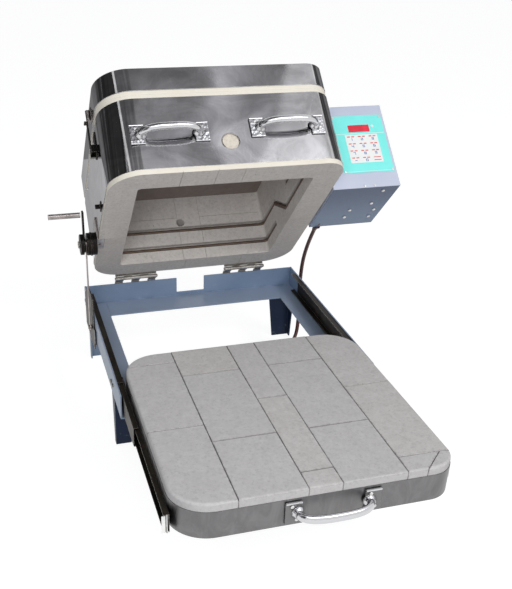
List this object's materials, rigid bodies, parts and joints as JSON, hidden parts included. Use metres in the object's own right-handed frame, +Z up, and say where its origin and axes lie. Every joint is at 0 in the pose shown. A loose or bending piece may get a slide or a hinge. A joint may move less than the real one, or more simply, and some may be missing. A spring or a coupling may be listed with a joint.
{
  "type": "bead annealing kiln",
  "caption": "Bench bead annealing kiln: hinged firebrick hood in steel shells over a sliding brick tray on a low angle-iron stand, with handles, friction clamp and control box.",
  "frame": {"origin": "on the floor under the middle of the bounding box at rest, with the hood open and the tray out", "axes": "+X to the operator's right, +Y towards the back, +Z up; the tray pulls out along -Y"},
  "size_m": [0.758, 1.1306, 0.7496],
  "materials": {
    "stand_blue": "satin slate blue enamel",
    "slide_steel": "zinc plated, oily and worn",
    "shell_steel": "polished stainless sheet",
    "brick": "matt insulating firebrick",
    "chrome": "bright plated casting",
    "element": "oxidised resistance wire",
    "zinc": "bright zinc plate",
    "black": "black enamel, worn",
    "box_blue": "satin blue enamel",
    "panel": "printed membrane",
    "display": "red filter window",
    "keypad": "white membrane keys",
    "cord": "dark red-brown jacket",
    "gland": "black nylon"
  },
  "bodies": {
    "stand": {"rail_left": "stand_blue", "rail_right": "stand_blue", "rail_rear": "stand_blue", "rail_front": "stand_blue", "leg_front_left": "stand_blue", "leg_front_right": "stand_blue", "leg_rear_left": "stand_blue", "leg_rear_right": "stand_blue", "slide_outer_left": "slide_steel", "slide_outer_right": "slide_steel", "hinge_lower_left": "zinc", "hinge_lower_right": "zinc", "hinge_pin_left": "zinc", "hinge_pin_right": "zinc", "guide_plate": "zinc", "guide_clip": "black", "cord_lead": "cord", "cord_coil": "cord", "cord_plug": "cord"},
    "slide_member_left": {"slide_middle_left": "slide_steel"},
    "slide_member_right": {"slide_middle_right": "slide_steel"},
    "tray": {"tray_pan": "shell_steel", "tray_brick": "brick", "tray_handle": "chrome", "slide_inner_left": "slide_steel", "slide_inner_right": "slide_steel", "slide_tab_left": "zinc", "slide_tab_right": "zinc"},
    "hood": {"ring_shell": "shell_steel", "ring_brick": "brick", "lid_brick": "brick", "lid_shell": "shell_steel", "handle_left": "chrome", "handle_right": "chrome", "element_lower": "element", "element_upper": "element", "hinge_upper_left": "zinc", "hinge_upper_right": "zinc", "stay_bracket": "zinc", "clamp_bolt": "zinc", "drum_inner": "black", "drum_outer": "black", "latch_base": "black", "latch_strike": "zinc", "control_box": "box_blue", "box_mounts": "zinc", "control_panel": "panel", "display_window": "display", "keypad": "keypad", "cord_gland": "gland"},
    "clamp_lever": {"clamp_lever": "black", "lever_grip": "zinc"},
    "stay": {"stay_arm": "zinc", "stay_foot_bolt": "zinc"},
    "latch": {"latch_lever": "black"},
    "peephole_plug": {"peephole_plug": "brick"}
  },
  "joints": [
    {"name": "hood_hinge", "type": "hinge", "parent": "stand", "child": "hood", "pos_m": [-0.0185, 0.39066, 0.2065], "axis": [1, 0, 0], "range_deg": [-15, 45.1], "deforming": ["cord_lead"]},
    {"name": "tray_slide", "type": "slide", "parent": "stand", "child": "tray", "axis": [0, 1, 0], "range_m": [0, 0.398]},
    {"name": "left_slide_member", "type": "slide", "parent": "stand", "child": "slide_member_left", "axis": [0, 1, 0], "range_m": [0, 0.199]},
    {"name": "right_slide_member", "type": "slide", "parent": "stand", "child": "slide_member_right", "axis": [0, 1, 0], "range_m": [0, 0.199]},
    {"name": "clamp_lever_turn", "type": "hinge", "parent": "hood", "child": "clamp_lever", "pos_m": [-0.2885, 0.25732, 0.35666], "axis": [1, 0, 0], "range_deg": [-40, 40]},
    {"name": "stay_swing", "type": "hinge", "parent": "hood", "child": "stay", "pos_m": [-0.2925, 0.25732, 0.35666], "axis": [1, 0, 0], "range_deg": [-45.2, 15.1]},
    {"name": "peephole_slide", "type": "slide", "parent": "hood", "child": "peephole_plug", "axis": [0, -0.705, 0.7092], "range_m": [0, 0.075]},
    {"name": "latch_flip", "type": "hinge", "parent": "hood", "child": "latch", "pos_m": [-0.275, 0.20919, 0.58096], "axis": [0, 0.705, -0.7092], "range_deg": [-110, 0]}
  ],
  "couplings": [
    {"joint": "left_slide_member", "follows": "tray_slide", "ratio": 0.5},
    {"joint": "right_slide_member", "follows": "tray_slide", "ratio": 0.5},
    {"joint": "stay_swing", "follows": "hood_hinge", "ratio": -1}
  ]
}
